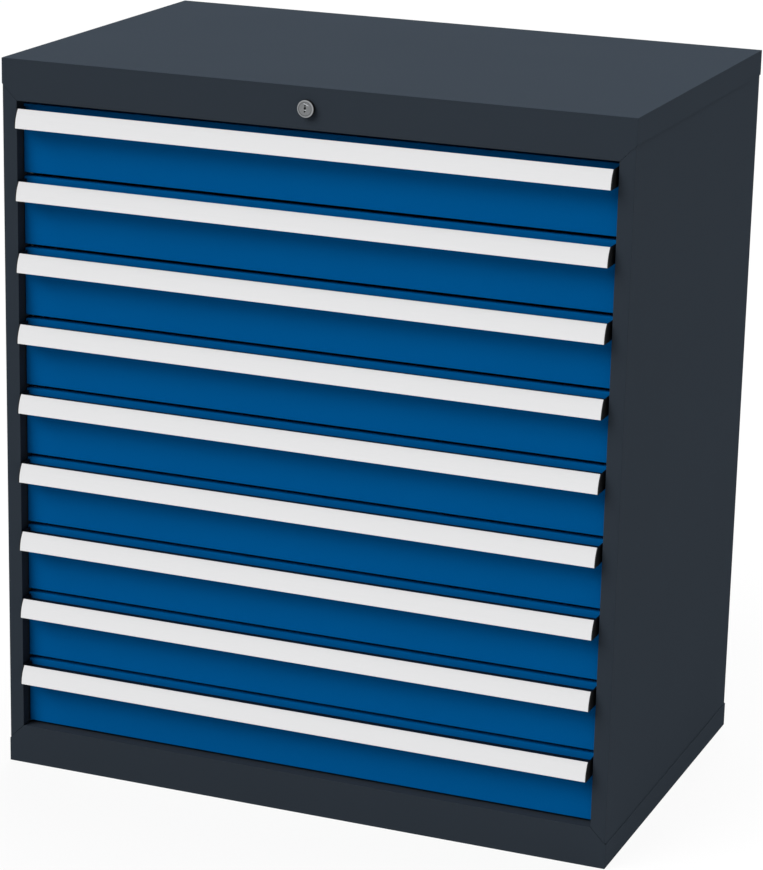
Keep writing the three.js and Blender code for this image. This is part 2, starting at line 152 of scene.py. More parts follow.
def mesh_of(bm):
    mesh = bpy.data.meshes.new("solid")
    bm.to_mesh(mesh)
    bm.free()
    return mesh


# Sheet metal and solids

WELD = 1e-6  # corners closer than this are one
FOLD_ANGLE = math.radians(10)  # panels that meet at more than this have a fold between them
EDGE_ANGLE = math.radians(40)  # an edge of a solid is rounded from here
SHARP_ANGLE = math.radians(35)  # an edge is shaded sharp from here


def grow(thickness):
    """The modifier that gives a face a thickness, inwards."""
    return "SOLIDIFY", {"thickness": thickness, "offset": -1, "use_even_offset": True}


def folded(panels, thickness, radius, steps=4):
    """A folded sheet from its outer faces: the folds are rounded and the sheet grows inwards."""
    bm = bmesh.new()
    for panel in panels:
        bm.faces.new([bm.verts.new(corner) for corner in panel])
    bmesh.ops.remove_doubles(bm, verts=bm.verts, dist=WELD)
    bmesh.ops.recalc_face_normals(bm, faces=bm.faces)
    weight = bm.edges.layers.float.new("bevel_weight_edge")
    folds = [e for e in bm.edges if len(e.link_faces) == 2 and e.calc_face_angle() > FOLD_ANGLE]
    if radius > thickness:
        options = {"profile": 0.5, "affect": "EDGES", "clamp_overlap": True}
        bmesh.ops.bevel(bm, geom=folds, offset=radius, segments=steps, **options)
        return with_modifiers(mesh_of(bm), grow(thickness))
    # A fold tighter than the sheet is pressed sharp and rounded after the sheet is thick.
    for fold in folds:
        fold[weight] = 1.0
    ease = {"width": radius, "segments": steps, "limit_method": "WEIGHT"}
    return with_modifiers(mesh_of(bm), grow(thickness), ("BEVEL", ease))


def placed(point, along, at):
    """A point of a flat outline, at a place along the third axis."""
    a, b = point
    return {"X": (at, a, b), "Y": (a, at, b), "Z": (a, b, at)}[along]


def strip(path, along, span):
    """Panels along a path, drawn out along the third axis."""
    low, high = ([placed(point, along, at) for point in path] for at in span)
    return [[low[i], low[i + 1], high[i + 1], high[i]] for i in range(len(path) - 1)]


def bent(path, along, span, thickness, radius):
    """A strip of sheet bent along a path and run along one axis. The path gives its outer side."""
    return folded(strip(path, along, span), thickness, radius, 3)


def band(outer, inner):
    """Panels between two closed rows of corners."""
    turns = [(i, (i + 1) % len(outer)) for i in range(len(outer))]
    return [[outer[i], outer[j], inner[j], inner[i]] for i, j in turns]


def turned(profile, centre, along, sides=48):
    """A closed solid turned from a profile of radius and depth, about an axis through a point."""
    bm = bmesh.new()
    rings = []
    for radius, depth in profile:
        count = 1 if radius < WELD else sides
        ring = []
        for i in range(count):
            turn = math.tau * i / count
            point = placed((radius * math.cos(turn), radius * math.sin(turn)), along, depth)
            ring.append(bm.verts.new(Vector(centre) + Vector(point)))
        rings.append(ring)
    for first, second in zip(rings, rings[1:] + rings[:1]):
        for i in range(max(len(first), len(second))):
            j = i + 1
            corners = [first[i % len(first)], first[j % len(first)]]
            corners += [second[j % len(second)], second[i % len(second)]]
            unique = list(dict.fromkeys(corners))
            if len(unique) > 2:
                bm.faces.new(unique)
    bmesh.ops.recalc_face_normals(bm, faces=bm.faces)
    return mesh_of(bm)


def prism(outline, along, span):
    """A closed solid with an outline, run along one axis."""
    bm = bmesh.new()
    low, high = ([bm.verts.new(placed(p, along, at)) for p in outline] for at in span)
    for panel in (low, high, *band(low, high)):
        bm.faces.new(panel)
    bmesh.ops.recalc_face_normals(bm, faces=bm.faces)
    return mesh_of(bm)


def softened(mesh, width, steps=2):
    """A solid with its sharp edges rounded."""
    settings = {"width": width, "segments": steps, "limit_method": "ANGLE"}
    return with_modifiers(mesh, ("BEVEL", {**settings, "angle_limit": EDGE_ANGLE}))


def cut(mesh, *cutters):
    """A solid less its cutters."""
    tools = [shown("cutter", cutter) for cutter in cutters]
    for tool in tools:
        mesh = with_modifiers(mesh, ("BOOLEAN", {"object": tool, "solver": "EXACT"}))
        bpy.data.objects.remove(tool)
    return mesh


def mirrored(mesh):
    """The left-hand twin of a right-hand solid."""
    twin = mesh.copy()
    twin.transform(Matrix.Diagonal((-1, 1, 1, 1)))
    twin.flip_normals()
    return twin


def moved(mesh, step):
    twin = mesh.copy()
    twin.transform(Matrix.Translation(step))
    return twin


def both(*solids):
    return [*solids, *map(mirrored, solids)]


def shaded(*solids):
    """Several solids as one mesh, its bends shaded smooth and its corners sharp."""
    bm = bmesh.new()
    for solid in solids:
        bm.from_mesh(solid)
    mesh = mesh_of(bm)
    mesh.shade_smooth()
    mesh.set_sharp_from_angle(angle=SHARP_ANGLE)
    return with_modifiers(mesh, ("WEIGHTED_NORMAL", {"keep_sharp": True}))


def hand_over(name, mesh, body, slot, *stands_for):
    """A finished piece with its finish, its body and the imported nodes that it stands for."""
    obj = shown(name, mesh)
    obj.data.materials.clear()
    obj.data.materials.append(finish(slot))
    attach(obj, body)
    if stands_for:
        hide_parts(*stands_for)


def for_each_drawer(part, solids, slot, *stands_for, body=""):
    """The top drawer's piece, repeated at every bay. Names are what follows the drawer's own."""
    mesh = shaded(*solids)
    for n in DRAWERS:
        drawer = f"drawer_{n}"
        copy = moved(mesh, (0, 0, (1 - n) * PITCH))
        nodes = [f"{drawer}_{node}" for node in stands_for]
        hand_over(f"{drawer}_{part}", copy, drawer + body, slot, *nodes)


# Node trees for what repeats or follows a rule

ROW_INPUTS = {"Start": "Vector", "Step": "Vector", "Count": "Int"}


def new_tree(name, inputs):
    """An empty Geometry Nodes tree with named inputs, and its input node's outputs."""
    tree = bpy.data.node_groups.new(name, "GeometryNodeTree")
    face = tree.interface
    face.new_socket("Geometry", in_out="OUTPUT", socket_type="NodeSocketGeometry")
    for label, kind in {"Geometry": "Geometry", **inputs, "Material": "Material"}.items():
        face.new_socket(label, in_out="INPUT", socket_type=f"NodeSocket{kind}")
    return tree, put(tree, "NodeGroupInput").outputs


def closed_tree(tree, source, geometry):
    """Ends a tree with real geometry and its material."""
    real = put(tree, "GeometryNodeRealizeInstances", links={"Geometry": geometry})
    links = {"Geometry": real, "Material": source["Material"]}
    painted = put(tree, "GeometryNodeSetMaterial", links=links)
    put(tree, "NodeGroupOutput", links={"Geometry": painted})
    return tree


def in_a_row(tree, source, piece):
    """Instances of a piece at even steps along a line."""
    ends = {"Count": source["Count"], "Start Location": source["Start"], "Offset": source["Step"]}
    line = put(tree, "GeometryNodeMeshLine", {"mode": "OFFSET"}, ends)
    return put(tree, "GeometryNodeInstanceOnPoints", links={"Points": line, "Instance": piece})


def row_tree():
    """Copies of a mesh at even steps along a line."""
    tree, source = new_tree("Row of copies", ROW_INPUTS)
    return closed_tree(tree, source, in_a_row(tree, source, source["Geometry"]))


def slot_tree():
    """Punched slots at even steps along a line."""
    tree, source = new_tree("Row of slots", {**ROW_INPUTS, "Slot Size": "Vector"})
    punch = put(tree, "GeometryNodeMeshCube", links={"Size": source["Slot Size"]})
    row = in_a_row(tree, source, punch)
    real = put(tree, "GeometryNodeRealizeInstances", links={"Geometry": row})
    settings = {"operation": "DIFFERENCE", "solver": "EXACT"}
    links = {"Mesh 1": source["Geometry"], "Mesh 2": real}
    return closed_tree(tree, source, put(tree, "GeometryNodeMeshBoolean", settings, links))


def grip_tree():
    """The curved outer skin of a grip: an arc up from its lower edge, drawn along its length."""
    inputs = {"Lower Edge": "Vector", "Facets": "Int"}
    inputs.update({"Length": "Float", "Height": "Float", "Radius": "Float"})
    tree, source = new_tree("Grip skin", inputs)
    radius = source["Radius"]
    links = {0: source["Height"], 1: radius}
    share = put(tree, "ShaderNodeMath", {"operation": "DIVIDE"}, links)
    sweep = put(tree, "ShaderNodeMath", {"operation": "ARCSINE"}, {0: share})
    links = {"Resolution": source["Facets"], "Radius": radius, "Sweep Angle": sweep}
    arc = put(tree, "GeometryNodeCurveArc", {"mode": "RADIUS", "Start Angle": 0.0}, links)
    back = put(tree, "ShaderNodeCombineXYZ", links={"Y": radius})
    links = {0: source["Lower Edge"], 1: back}
    place = put(tree, "ShaderNodeVectorMath", {"operation": "ADD"}, links)
    # The arc is drawn in X and Y, and stands up with its start facing forwards.
    upright = Matrix(((0, 0, -1), (-1, 0, 0), (0, 1, 0))).to_euler()
    links = {"Geometry": arc, "Translation": place}
    section = put(tree, "GeometryNodeTransform", {"Rotation": upright}, links)
    edge = put(tree, "GeometryNodeCurveToMesh", links={"Curve": section})
    run = put(tree, "ShaderNodeCombineXYZ", links={"X": source["Length"]})
    settings = {"mode": "EDGES", "Offset Scale": 1.0}
    skin = put(tree, "GeometryNodeExtrudeMesh", settings, {"Mesh": edge, "Offset": run})
    return closed_tree(tree, source, skin)


TREES = {"row": row_tree, "slots": slot_tree, "grip": grip_tree}
_made = {}


def grown(mesh, kind, slot, **values):
    """The plain mesh that a tree makes of a mesh, with the tree's named inputs set."""
    if kind not in _made:
        _made[kind] = TREES[kind]()
    tree = _made[kind]
    values = {label.replace("_", " "): value for label, value in values.items()}
    values["Material"] = finish(slot)
    maker = shown(tree.name, mesh)
    modifier = maker.modifiers.new(tree.name, "NODES")
    modifier.node_group = tree
    for item in tree.interface.items_tree:
        if item.in_out == "INPUT" and item.name in values:
            modifier[item.identifier] = values[item.name]
    result = plain(maker)
    bpy.data.objects.remove(maker)
    return result


# Finishes


def started(name, settings):
    """A new material's tree, its shader with the settings that are the same all over, and the
    object's own coordinates."""
    material = bpy.data.materials.new(name)
    tree = emptied(material)
    shader = put(tree, "ShaderNodeBsdfPrincipled", settings)
    put(tree, "ShaderNodeOutputMaterial", links={"Surface": shader})
    return material, tree, shader, put(tree, "ShaderNodeTexCoord").outputs["Object"]


def shade_between(tree, shader, factor, colour, spread):
    """Base colour that drifts around one colour with a pattern."""
    dark, light = ([c * (1 + side * spread) for c in colour] + [1] for side in (-1, 1))
    drift = put(tree, "ShaderNodeMix", {"data_type": "RGBA", 6: dark, 7: light}, {0: factor})
    tree.links.new(drift.outputs[2], shader.inputs["Base Color"])


def rough_between(tree, shader, factor, low, high):
    """Roughness that drifts between two values with a pattern."""
    drift = put(tree, "ShaderNodeMapRange", {"To Min": low, "To Max": high}, {"Value": factor})
    tree.links.new(drift.outputs[0], shader.inputs["Roughness"])


def bumped(tree, shader, height, depth, strength):
    """Relief of a depth from a pattern."""
    settings = {"Strength": strength, "Distance": depth}
    relief = put(tree, "ShaderNodeBump", settings, {"Height": height})
    tree.links.new(relief.outputs[0], shader.inputs["Normal"])


def powder_coat(name, colour, roughness, specular):
    """Polyester powder, baked on: an even colour with a soft sheen that a fine orange-peel skin
    breaks up."""
    gloss = max(colour)
    tint = [c / gloss for c in colour] + [1]
    settings = {"IOR": 1.5, "Specular IOR Level": specular, "Specular Tint": tint}
    material, tree, shader, place = started(name, settings)
    # Film thickness drifts over about 200 mm and tints the colour by a hair.
    settings = {"Scale": 1 / (200 * MM), "Detail": 2.0}
    cloud = put(tree, "ShaderNodeTexNoise", settings, {"Vector": place})
    shade_between(tree, shader, cloud, colour, spread=0.03)
    # Orange peel is about 1 mm across, drawn at 2.5 mm so that it shows.
    settings = {"Scale": 1 / (2.5 * MM), "Detail": 3.0}
    peel = put(tree, "ShaderNodeTexNoise", settings, {"Vector": place})
    rough_between(tree, shader, peel, roughness - 0.04, roughness + 0.04)
    bumped(tree, shader, peel, depth=0.03 * MM, strength=0.25)
    return material


def anodised_aluminium(name, colour):
    """Extruded aluminium, etched and clear anodised: a pale satin metal with faint die lines
    along its length."""
    material, tree, shader, place = started(name, {"Metallic": 1.0})
    # Die lines are a few tenths of a millimetre apart, drawn at 1.2 mm, and metres long.
    along = put(tree, "ShaderNodeMapping", {"Scale": (2.0, 830.0, 830.0)}, {"Vector": place})
    settings = {"Scale": 1.0, "Detail": 2.0}
    lines = put(tree, "ShaderNodeTexNoise", settings, {"Vector": along})
    shade_between(tree, shader, lines, colour, spread=0.02)
    rough_between(tree, shader, lines, 0.4, 0.5)
    bumped(tree, shader, lines, depth=0.01 * MM, strength=0.2)
    return material


def moulded_plastic(name, colour):
    """Injection-moulded black polyamide: near black, with a fine spark-eroded grain that dulls
    it."""
    material, tree, shader, place = started(name, {"IOR": 1.53, "Specular IOR Level": 0.3})
    # The grain is about 0.3 mm, drawn at 1.5 mm so that it shows.
    settings = {"Scale": 1 / (1.5 * MM), "Detail": 2.0}
    grain = put(tree, "ShaderNodeTexNoise", settings, {"Vector": place})
    shade_between(tree, shader, grain, colour, spread=0.15)
    rough_between(tree, shader, grain, 0.45, 0.6)
    bumped(tree, shader, grain, depth=0.05 * MM, strength=0.3)
    return material


def bright_zinc(name, colour):
    """Cold-rolled steel, electroplated with zinc: bluish bright metal with soft clouds and fine
    rolling marks."""
    material, tree, shader, place = started(name, {"Metallic": 1.0})
    # Plating clouds are 15 to 30 mm across.
    settings = {"Scale": 1 / (22 * MM), "Detail": 3.0}
    cloud = put(tree, "ShaderNodeTexNoise", settings, {"Vector": place})
    shade_between(tree, shader, cloud, colour, spread=0.08)
    rough_between(tree, shader, cloud, 0.28, 0.46)
    # Rolling marks run along the slides, 0.2 mm apart, drawn at 1 mm.
    along = put(tree, "ShaderNodeMapping", {"Scale": (1000.0, 12.0, 1000.0)}, {"Vector": place})
    settings = {"Scale": 1.0, "Detail": 1.0}
    marks = put(tree, "ShaderNodeTexNoise", settings, {"Vector": along})
    bumped(tree, shader, marks, depth=0.01 * MM, strength=0.2)
    return material


def satin_nickel(name, colour):
    """Zinc die casting, brushed and nickel plated: a warm grey metal, with a painted highlight
    that makes the bevelled rim lighter than the plug's face."""
    material, tree, shader, place = started(name, {"Metallic": 1.0})
    # The brushing is about 0.1 mm apart, drawn at 0.9 mm.
    brush = put(tree, "ShaderNodeMapping", {"Scale": (1100.0, 1100.0, 300.0)}, {"Vector": place})
    settings = {"Scale": 1.0, "Detail": 2.0}
    marks = put(tree, "ShaderNodeTexNoise", settings, {"Vector": brush})
    # Painted highlight: the base colour lightens from 9.4 mm off the lock's axis to 10.6 mm, where
    # the bevelled rim starts, and stays light beyond.
    settings = {"operation": "MULTIPLY", 1: (1, 0, 1)}
    flat = put(tree, "ShaderNodeVectorMath", settings, {0: place})
    settings = {"operation": "DISTANCE", 1: (0, 0, LOCK_Z)}
    away = put(tree, "ShaderNodeVectorMath", settings, {0: flat}).outputs["Value"]
    edges = {"From Min": 9.4 * MM, "From Max": 10.6 * MM, "To Min": 0.0, "To Max": 0.75}
    rim = put(tree, "ShaderNodeMapRange", edges, {"Value": away})
    # The tone is the brushing plus the rim's painted highlight.
    settings = {"operation": "MULTIPLY_ADD", 1: 0.4}
    tone = put(tree, "ShaderNodeMath", settings, {0: marks, 2: rim})
    shade_between(tree, shader, tone, colour, spread=0.32)
    rough_between(tree, shader, marks, 0.3, 0.42)
    bumped(tree, shader, marks, depth=0.01 * MM, strength=0.2)
    return material


def finish(slot):
    """The material of one of the record's slots, made when it is first asked for."""
    colours = bpy.context.scene.cabinet_colours
    # A powder coat's row ends with its roughness and its specular level.
    makers = {
        COAT: ("Powder coat, anthracite", powder_coat, colours.casing, 0.7, 0.003),
        "blue_coat": ("Powder coat, gentian blue", powder_coat, colours.fronts, 0.55, 0.05),
        "grey_coat": ("Powder coat, dusty grey", powder_coat, colours.trays, 0.45, 0.4),
        "grip_aluminium": ("Anodised aluminium", anodised_aluminium, colours.grips),
        PLASTIC: ("Moulded polyamide, black", moulded_plastic, colours.plastic),
        ZINC: ("Zinc-plated steel", bright_zinc, colours.zinc),
        "nickel_plated_zinc": ("Nickel-plated zinc", satin_nickel, colours.lock),
    }
    name, maker, colour, *rest = makers[slot]
    found = bpy.data.materials.get(name)
    return found or maker(name, tuple(colour), *rest)


# What a user may change


def amount(name, text, value, **more):
    return FloatProperty(name=name, description=text, default=value, min=0, **more)


def length(name, text, millimetres):
    return amount(name, text, millimetres * MM, subtype="DISTANCE")


def paint(name, text, code):
    options = {"default": linear(code), "min": 0, "max": 1, "subtype": "COLOR"}
    return FloatVectorProperty(name=name, description=text, **options)


class CabinetSizes(bpy.types.PropertyGroup):
    """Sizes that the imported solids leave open"""

    casing_sheet: length("Casing sheet", "Thickness of the casing's steel", 1)
    front_sheet: length("Front sheet", "Thickness of a drawer front's steel", 1.2)
    slide_sheet: length("Slide sheet", "Thickness of the slides and uprights", 1.5)
    casing_fold: length("Casing fold", "Outer radius of the casing's folds", 0.4)
    front_fold: length("Front fold", "Outer radius of a drawer front's folds", 0.4)
    slide_fold: length("Slide fold", "Outer radius of the folds of slides and uprights", 2.4)
    ledge_lip: length("Ledge lip", "Height of the fold behind the base rail and the fascia", 10)
    front_rim: length("Front rim", "Width of the folded rim behind a drawer front", 18)
    tray_lip: length("Tray lip", "Width of the lip along a tray's upper edge", 6)
    slot_pitch: length("Slot pitch", "From one divider slot of a tray to the next", 17)
    slot_width: length("Slot width", "Width of a divider slot", 3)
    slot_height: length("Slot height", "Height of a divider slot", 22)
    grip_radius: length("Grip radius", "Radius of a grip's curved face", 41.3)
    grip_wall: length("Grip wall", "Thickness of a grip's curved face", 1.8)
    grip_web: length("Grip web", "Grip's upper edge down to the web behind it", 5)
    grip_foot: length("Grip foot", "Height of a grip's foot on the drawer front", 13)
    grip_lip: length("Grip lip", "Width of the lip that the fingers pull", 5)
    rivet_radius: length("Rivet radius", "Radius of a blind rivet's head", 4)
    grip_facets: IntProperty(
        name="Grip facets", description="Facets of a grip's curve", default=18, min=4
    )


class CabinetColours(bpy.types.PropertyGroup):
    """Colours of the finishes"""

    casing: paint("Casing", "Powder coat of the casing", "#323941")
    fronts: paint("Fronts", "Powder coat of the drawer fronts", "#005b9c")
    trays: paint("Trays", "Powder coat of the trays", "#8d9499")
    grips: paint("Grips", "Anodised aluminium of the grips", "#e6e6e7")
    plastic: paint("Plastic", "Black plastic of grips and rollers", "#08090a")
    zinc: paint("Zinc", "Zinc plating of slides and locking gear", "#c4c9cd")
    lock: paint("Lock", "Nickel plating of the lock", "#888a8c")


# Casing


def at_depth(points, y):
    return [(x, y, z) for x, z in points]


def inset(edge, width, y):
    """Corners of a rectangle in X and Z, moved in by a width, at a depth."""
    (x0, z0), (x1, z1) = edge
    x0, z0, x1, z1 = x0 + width, z0 + width, x1 - width, z1 - width
    return at_depth([(x0, z0), (x1, z0), (x1, z1), (x0, z1)], y)


def rimmed_pan(flat, rim, ledge, lip):
    """Outer faces of the cover or the base: flat side, rims, front rail, ledge and lip."""
    corners = [(-HALF, FACE), (HALF, FACE), (HALF, REAR), (-HALF, REAR)]
    panels = [[(x, y, flat) for x, y in corners]]
    panels += strip(corners[1:] + corners[:1], "Z", (flat, rim))
    rail = [(-HALF, flat), (HALF, flat), (HALF, rim), (JAMB, ledge), (-JAMB, ledge), (-HALF, rim)]
    panels.append(at_depth(rail, FACE))
    path = [(FACE, ledge), (SHELF, ledge), (SHELF, lip)]
    for start, end in zip(path, path[1:]):
        panels.append([(-JAMB, *start), (JAMB, *start), (JAMB, *end), (-JAMB, *end)])
    return panels


class CABINET_OT_casing(bpy.types.Operator):
    """Folds the cover, the base and both sides, and lays the back panel on them"""

    bl_idname = "cabinet.casing"
    bl_label = "Casing"

    relief = 3 * MM  # corner notch beside the front flange
    back_fold = 20 * MM
    mitre_gap = 0.6 * MM
    lock_hole = 9.7 * MM  # radius
    punch = 20 * MM
    field_inset = 70 * MM  # of the pressed field in the back panel
    field_depth = 3 * MM
    rivet_count = 9
    rivet_sides = 20
    rivet_gap = 10 * MM  # rivet line to the wall's outer face
    rivet_end = 25 * MM  # last rivet to the edge of a rim
    rivet_brim, rivet_shoulder, rivet_crown = 0.3 * MM, 1 * MM, 1.2 * MM  # heights
    rivet_round = 0.6  # of a rivet's radius, at its shoulder

    def execute(self, context):
        sizes = context.scene.cabinet_sizes
        faces = (
            rimmed_pan(TOP, COVER_RIM, LINTEL, LINTEL + sizes.ledge_lip),
            rimmed_pan(0, BASE_RIM, SILL, SILL - sizes.ledge_lip),
            self.side_panels(),
            self.back_panels(),
        )
        sheet, fold = sizes.casing_sheet, sizes.casing_fold
        cover, base, side, back = (folded(panels, sheet, fold) for panels in faces)
        radius, reach = self.lock_hole, self.punch
        bore = [(0, -reach), (radius, -reach), (radius, reach), (0, reach)]
        pieces = (
            ("cover_sheet", cut(cover, turned(bore, (0, FACE, LOCK_Z), "Y")), "top_cover"),
            ("base_sheet", base, "base_pan"),
            ("right_side_sheet", side, "right_side"),
            ("left_side_sheet", mirrored(side), "left_side"),
            ("back_sheet", back, "back_panel"),
        )
        for name, solid, node in pieces:
            hand_over(name, shaded(solid), "cabinet", COAT, node)
        self.rivets(sizes.rivet_radius)
        return {"FINISHED"}

    def side_panels(self):
        low, high = SILL + self.mitre_gap, LINTEL - self.mitre_gap
        bottom, top = low - (WALL - JAMB), high + (WALL - JAMB)
        notch, edge = FACE + self.relief, WALL - self.back_fold
        wall = [(FACE, bottom), (FACE, top), (notch, top), (notch, WALL_HIGH)]
        wall += [(WALL_REAR, WALL_HIGH), (WALL_REAR, WALL_LOW), (notch, WALL_LOW), (notch, bottom)]
        flange = [(JAMB, low), (WALL, bottom), (WALL, top), (JAMB, high)]
        jamb = [(JAMB, FACE, low), (JAMB, FACE, high), (JAMB, SHELF, high), (JAMB, SHELF, low)]
        fold = [(WALL, WALL_LOW), (WALL, WALL_HIGH), (edge, WALL_HIGH), (edge, WALL_LOW)]
        walls = [(WALL, y, z) for y, z in wall]
        return [walls, at_depth(flange, FACE), jamb, at_depth(fold, WALL_REAR)]

    def back_panels(self):
        edge = [(-WALL, WALL_LOW), (WALL, WALL_HIGH)]
        outside, depth = BACK[1].y, self.field_depth
        rim = inset(edge, 0, outside)
        bead = inset(edge, self.field_inset, outside)
        field = inset(edge, self.field_inset + depth, outside - depth)
        return [*band(rim, bead), *band(bead, field), field]

    def rivets(self, radius):
        head = [(0, 0), (radius, 0), (radius, self.rivet_brim)]
        head += [(self.rivet_round * radius, self.rivet_shoulder), (0, self.rivet_crown)]
        rivet = turned(head, (0, 0, 0), "Y", self.rivet_sides)
        low, high = BASE_RIM + self.rivet_end, COVER_RIM - self.rivet_end
        count = self.rivet_count
        step = (0, 0, (high - low) / (count - 1))
        rows = [
            grown(rivet, "row", COAT, Start=(x, BACK[1].y, low), Step=step, Count=count)
            for x in (self.rivet_gap - WALL, WALL - self.rivet_gap)
        ]
        hand_over("back_rivets", shaded(*rows), "cabinet", COAT)


# Runner racks


class CABINET_OT_racks(bpy.types.Operator):
    """Builds the uprights with their perforations, the nine rails and the bar keepers"""

    bl_idname = "cabinet.racks"
    bl_label = "Runner racks"

    rail_back = RACK[0].x + 15 * MM
    rail_low = 12 * MM  # above the bottom of a bay
    rail_height = 44 * MM
    upright_depth = 30 * MM
    upright_setback = 17 * MM  # behind the drawer fronts' fold
    rear_gap = 25 * MM
    hole = (8 * MM, 8 * MM, 14 * MM)
    hole_pitch = 25 * MM
    keeper_low = 20 * MM  # above the bottom of a bay
    keeper_height = 12 * MM
    keeper_reach = 12 * MM  # across the locking bar
    keeper_edge = 0.4 * MM
    play_before, play_beside = 0.3 * MM, 0.4 * MM  # between a keeper and the locking bar

    def execute(self, context):
        sizes = context.scene.cabinet_sizes
        sheet, fold = sizes.slide_sheet, sizes.slide_fold
        (tip, start, _), (_, end, _) = RACK
        back, low = self.rail_back, TOP_BAY + self.rail_low
        high = low + self.rail_height
        section = [(tip, low), (back, low), (back, high), (tip, high)]
        rail = bent(section, "Y", (start, end), sheet, fold)
        row = {"Start": (0, 0, 0), "Step": (0, 0, -PITCH), "Count": len(DRAWERS)}
        front = SHELF + self.upright_setback
        rear = end - self.rear_gap - self.upright_depth
        solids = [grown(rail, "row", ZINC, **row)]
        solids += [self.upright(near, sheet, fold) for near in (front, rear)]
        solids += self.keepers(front, sheet)
        hand_over("right_rack", shaded(*solids), "cabinet", ZINC, "right_runner_rack")
        left = shaded(*map(mirrored, solids))
        hand_over("left_rack", left, "cabinet", ZINC, "left_runner_rack")
        return {"FINISHED"}

    def upright(self, near, sheet, fold):
        (_, _, low), (wall, _, high) = RACK
        web, far, pitch = self.rail_back + HAIR, near + self.upright_depth, self.hole_pitch
        path = [(wall, near), (web, near), (web, far), (wall, far)]
        channel = bent(path, "Z", (low, high), sheet, fold)
        row = {"Start": (web, (near + far) / 2, low + pitch), "Step": (0, 0, pitch)}
        count = int((high - low) / pitch) - 1
        return grown(channel, "slots", ZINC, **row, Count=count, Slot_Size=self.hole)

    def keepers(self, front, sheet):
        """Straps on the front upright that hold the locking bar against it."""
        (_, near, _), (side, _, _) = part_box("right_locking_bar")
        wall, inner, outer = RACK[1].x, side - self.keeper_reach, side + self.play_beside
        strap = near - self.play_before - sheet
        back = strap + sheet
        outline = [(inner, strap), (wall, strap), (wall, front)]
        outline += [(outer, front), (outer, back), (inner, back)]
        straps = []
        for bay in (0, len(DRAWERS) // 2, len(DRAWERS) - 1):
            low = TOP_BAY - bay * PITCH + self.keeper_low
            keeper = prism(outline, "Z", (low, low + self.keeper_height))
            straps.append(softened(keeper, self.keeper_edge))
        return straps


# Drawers


class CABINET_OT_fronts(bpy.types.Operator):
    """Folds the nine drawer fronts"""

    bl_idname = "cabinet.fronts"
    bl_label = "Drawer fronts"

    fold_steps = 5

    def execute(self, context):
        sizes = context.scene.cabinet_sizes
        (x0, face, z0), (x1, rim, z1) = PAN
        edge = [(x0, z0), (x1, z1)]
        near, far = inset(edge, 0, face), inset(edge, 0, rim)
        panels = [near, *band(near, far), *band(far, inset(edge, sizes.front_rim, rim))]
        front = folded(panels, sizes.front_sheet, sizes.front_fold, self.fold_steps)
        for_each_drawer("pan", [front], "blue_coat", "front")
        return {"FINISHED"}


class CABINET_OT_grips(bpy.types.Operator):
    """Draws the nine grips: curved face, black carrier and black end caps"""

    bl_idname = "cabinet.grips"
    bl_label = "Grips"

    skin = 1.2 * MM  # of the carrier
    bend = 1.4 * MM  # of the carrier's foot
    cap = 1.4 * MM  # end cap beyond the face
    edge = 0.35 * MM  # rounding of the face's edges
    edge_steps = 3
    cap_edge = 0.3 * MM

    def execute(self, context):
        sizes = context.scene.cabinet_sizes
        (x0, tip, bottom), (x1, foot, top) = GRIP
        left, right = x0 + self.cap, x1 - self.cap
        radius, thick = sizes.grip_radius, sizes.grip_wall
        skin = grown(
            bpy.data.meshes.new("bare"),
            "grip",
            "grip_aluminium",
            Lower_Edge=(left, tip, bottom),
            Length=right - left,
            Height=top - bottom,
            Radius=radius,
            Facets=sizes.grip_facets,
        )
        bm = bmesh.new()
        bm.from_mesh(skin)
        bmesh.ops.recalc_face_normals(bm, faces=bm.faces)
        if sum(face.normal.y for face in bm.faces) > 0:
            bmesh.ops.reverse_faces(bm, faces=bm.faces)
        face = softened(with_modifiers(mesh_of(bm), grow(thick)), self.edge, self.edge_steps)
        for_each_drawer("grip_face", [face], "grip_aluminium", "grip")

        inside = radius - thick - HAIR
        outer, inner = self.arc(sizes, inside), self.arc(sizes, inside - self.skin)
        lip, floor = outer[0][0] + sizes.grip_lip, bottom + self.skin
        web = top - sizes.grip_web
        reach = math.sqrt((inside - self.skin) ** 2 - (web - bottom) ** 2)
        shell = [(y, z) for y, z in inner if z > floor and y < lip]
        carrier = [*reversed(outer), (lip, bottom), (lip, floor), *shell]
        foot_line = [(foot, web - sizes.grip_foot), (foot, web), (tip + radius - reach, web)]
        cap = [(foot, bottom), (foot, top), *reversed(self.arc(sizes, radius))]
        span = (left + HAIR, right - HAIR)
        solids = [prism(carrier, "X", span), bent(foot_line, "X", span, self.skin, self.bend)]
        for ends in ((right + HAIR, x1), (x0, left - HAIR)):
            solids.append(softened(prism(cap, "X", ends), self.cap_edge))
        for_each_drawer("grip_carrier", solids, PLASTIC)
        return {"FINISHED"}

    def arc(self, sizes, radius):
        """Points in Y and Z from a grip's lower edge up along its curve, at a radius."""
        (_, tip, bottom), (_, _, top) = GRIP
        centre, facets = tip + sizes.grip_radius, sizes.grip_facets
        sweep = math.asin((top - bottom) / sizes.grip_radius)
        turns = [sweep * i / facets for i in range(facets + 1)]
        return [(centre - radius * math.cos(t), bottom + radius * math.sin(t)) for t in turns]


